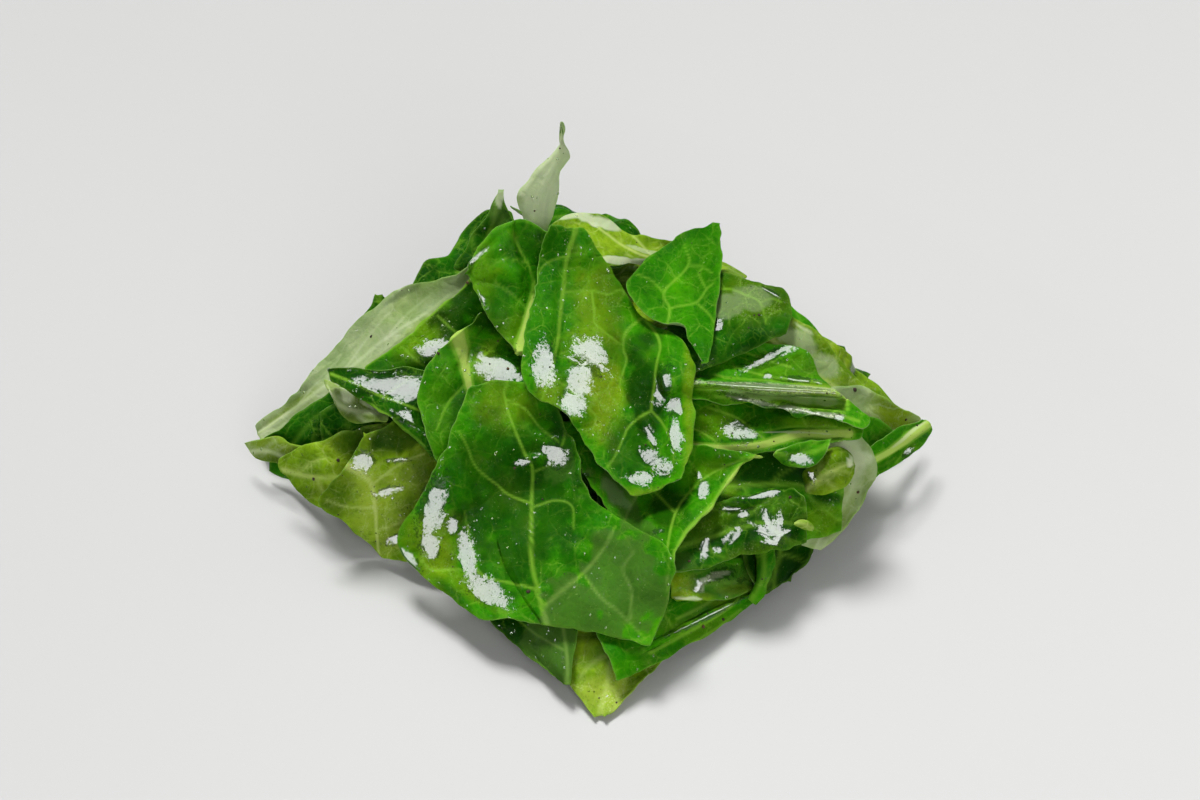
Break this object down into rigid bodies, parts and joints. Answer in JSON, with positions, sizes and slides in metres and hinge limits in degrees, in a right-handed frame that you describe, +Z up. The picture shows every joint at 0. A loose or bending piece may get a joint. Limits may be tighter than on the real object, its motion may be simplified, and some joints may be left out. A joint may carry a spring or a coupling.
{
  "type": "helping of collard greens",
  "caption": "Low heap of dressed, cut collard leaf pieces, draped over each other, lying free on a flat surface.",
  "frame": {"origin": "middle of the heap's footprint, on the surface that it lies on", "axes": "+Z up, +X to the right and +Y to the back as the picture sees the heap"},
  "size_m": [0.1826, 0.1704, 0.0762],
  "materials": {
    "leaf_deep": "deep green, wet and glossy",
    "leaf_bright": "bright green, wet and glossy",
    "leaf_olive": "olive to yellow green, wet and glossy",
    "leaf_pale": "pale grey-green underside, satin"
  },
  "bodies": {
    "root": {"bottom_leaf": "leaf_deep", "inner_leaf_1": "leaf_deep", "inner_leaf_2": "leaf_deep", "inner_leaf_3": "leaf_deep", "inner_leaf_4": "leaf_deep", "inner_leaf_5": "leaf_deep", "inner_leaf_6": "leaf_deep", "inner_leaf_7": "leaf_deep", "back_right_piece_1": "leaf_deep", "back_right_piece_2": "leaf_pale", "back_right_piece_3": "leaf_deep", "back_right_piece_4": "leaf_bright", "back_right_piece_5": "leaf_olive", "back_left_piece_1": "leaf_bright", "back_left_piece_2": "leaf_deep", "back_left_piece_3": "leaf_pale", "back_left_piece_4": "leaf_deep", "back_left_piece_5": "leaf_bright", "right_piece_1": "leaf_olive", "right_piece_2": "leaf_bright", "left_piece_1": "leaf_deep", "left_piece_2": "leaf_pale", "back_corner_piece_1": "leaf_deep", "back_leaf": "leaf_olive", "back_left_leaf": "leaf_deep", "back_tip_leaf": "leaf_deep", "back_left_tip_leaf": "leaf_deep", "upright_leaf": "leaf_pale", "left_pale_leaf": "leaf_pale", "left_inner_leaf": "leaf_deep", "left_end_leaf": "leaf_pale", "right_rim_leaf": "leaf_olive", "right_grey_leaf": "leaf_pale", "right_end_under_leaf": "leaf_bright", "right_end_leaf": "leaf_bright", "front_tip_leaf": "leaf_olive", "front_low_leaf": "leaf_deep", "right_low_leaf": "leaf_bright", "right_film_leaf": "leaf_bright", "right_deep_leaf": "leaf_deep", "right_curl_leaf": "leaf_bright", "left_under_leaf": "leaf_deep", "left_yellow_leaf": "leaf_olive", "left_front_leaf": "leaf_olive", "right_clear_leaf": "leaf_pale", "right_under_leaf": "leaf_bright", "right_rolled_leaf": "leaf_olive", "right_dark_leaf": "leaf_deep", "left_rim_leaf": "leaf_bright", "left_curl_leaf": "leaf_pale", "left_folded_leaf": "leaf_deep", "left_stem_leaf": "leaf_bright", "ribbed_lower_leaf": "leaf_bright", "ribbed_upper_leaf": "leaf_bright", "right_back_leaf": "leaf_deep", "centre_low_leaf": "leaf_bright", "front_leaf": "leaf_bright", "stem_leaf": "leaf_bright", "crown_leaf": "leaf_bright", "veined_leaf": "leaf_bright"}
  },
  "joints": []
}
